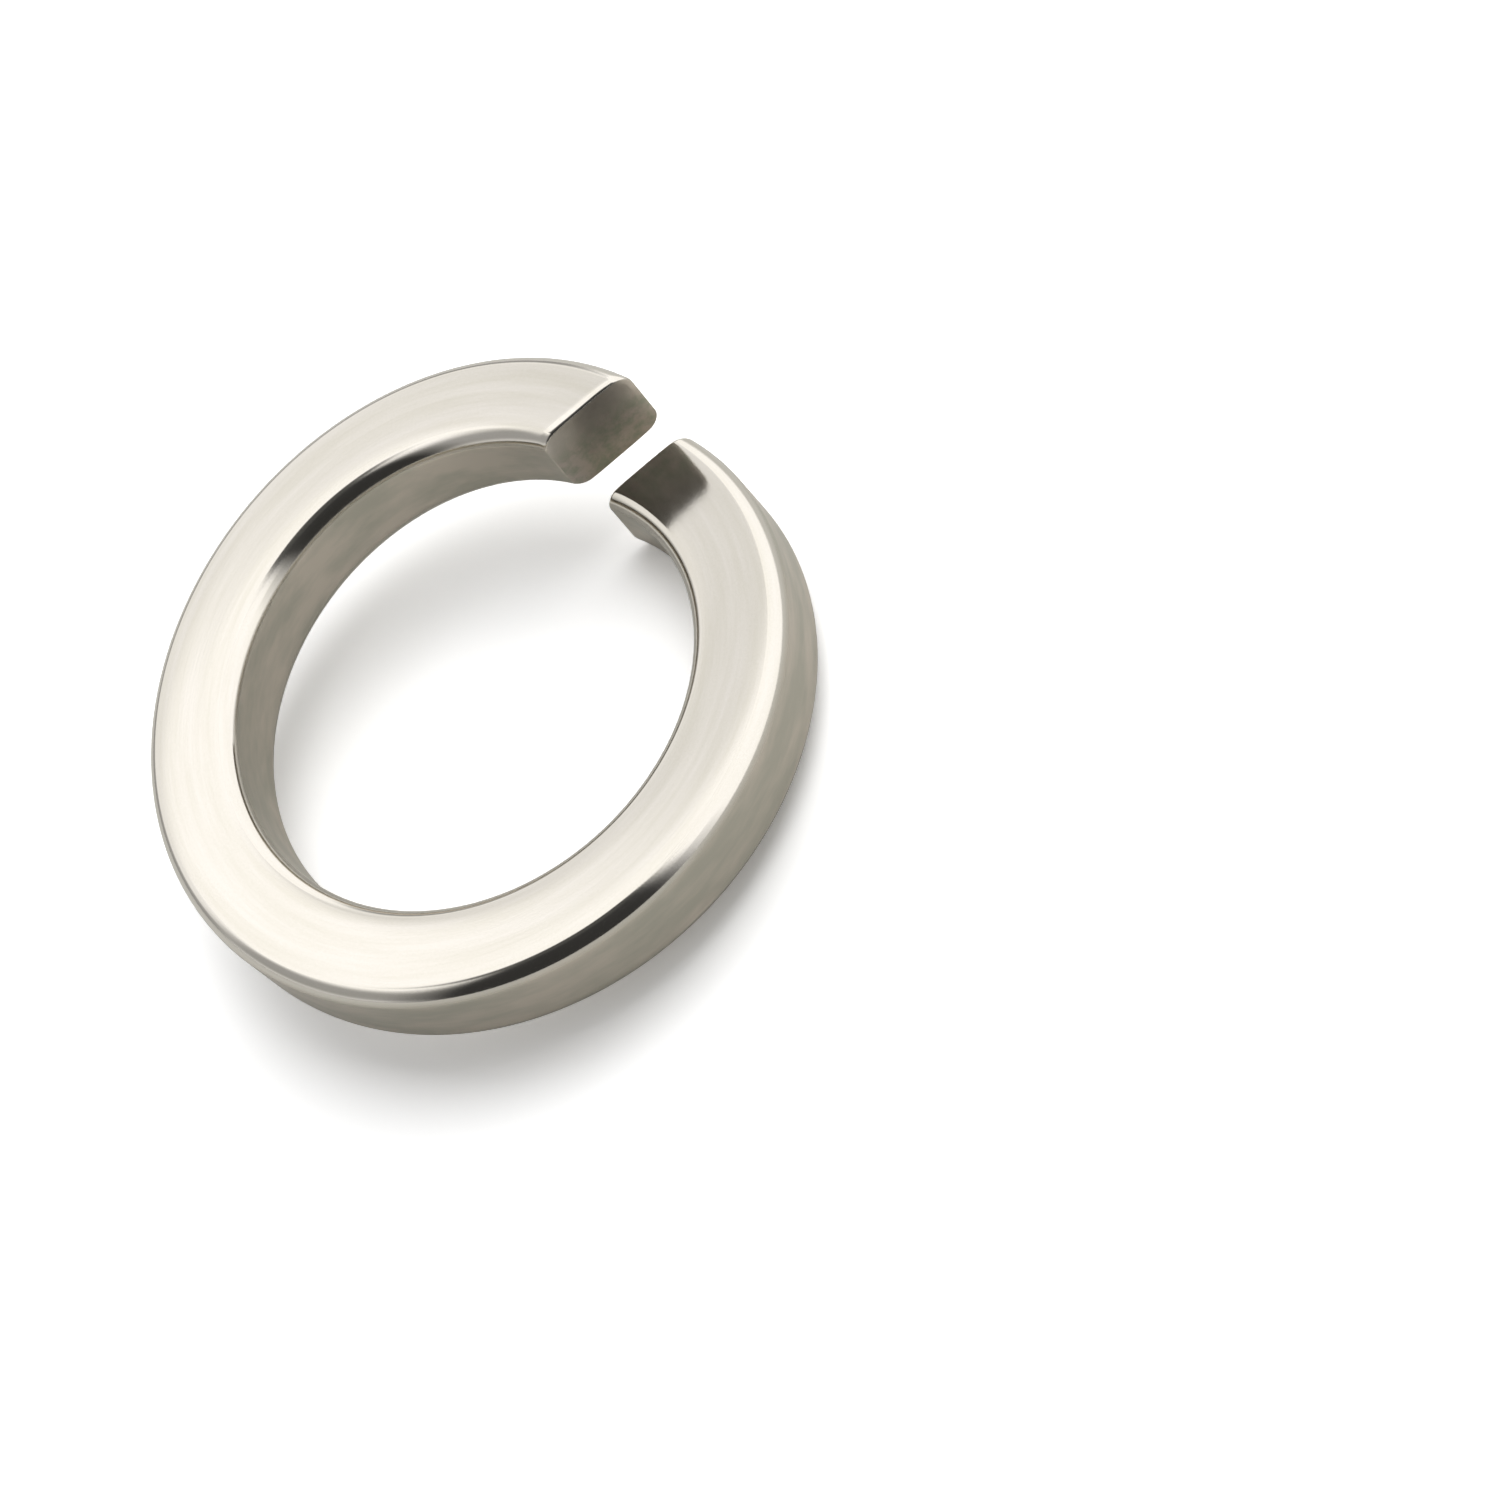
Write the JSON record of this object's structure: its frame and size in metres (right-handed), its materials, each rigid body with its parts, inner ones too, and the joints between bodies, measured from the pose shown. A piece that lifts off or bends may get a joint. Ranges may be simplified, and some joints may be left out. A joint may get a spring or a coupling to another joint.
{
  "type": "spring lock washer",
  "caption": "Split spring lock washer: an open left-hand turn of square wire with rounded edges, cut obliquely, its ends sprung apart to keep a bolted joint tight.",
  "frame": {"origin": "on the bore axis, in the plane of the lowest edge of the coil", "axes": "+Z along the bore axis towards the upper cut end; the slot faces -Y; seen from above, the coil rises clockwise from the lower end round to the upper end"},
  "size_m": [0.0236, 0.0236, 0.0072],
  "materials": {
    "stainless_wire": "satin, barrel tumbled after rolling and coiling"
  },
  "bodies": {
    "root": {"lock_washer": "stainless_wire"}
  },
  "joints": []
}
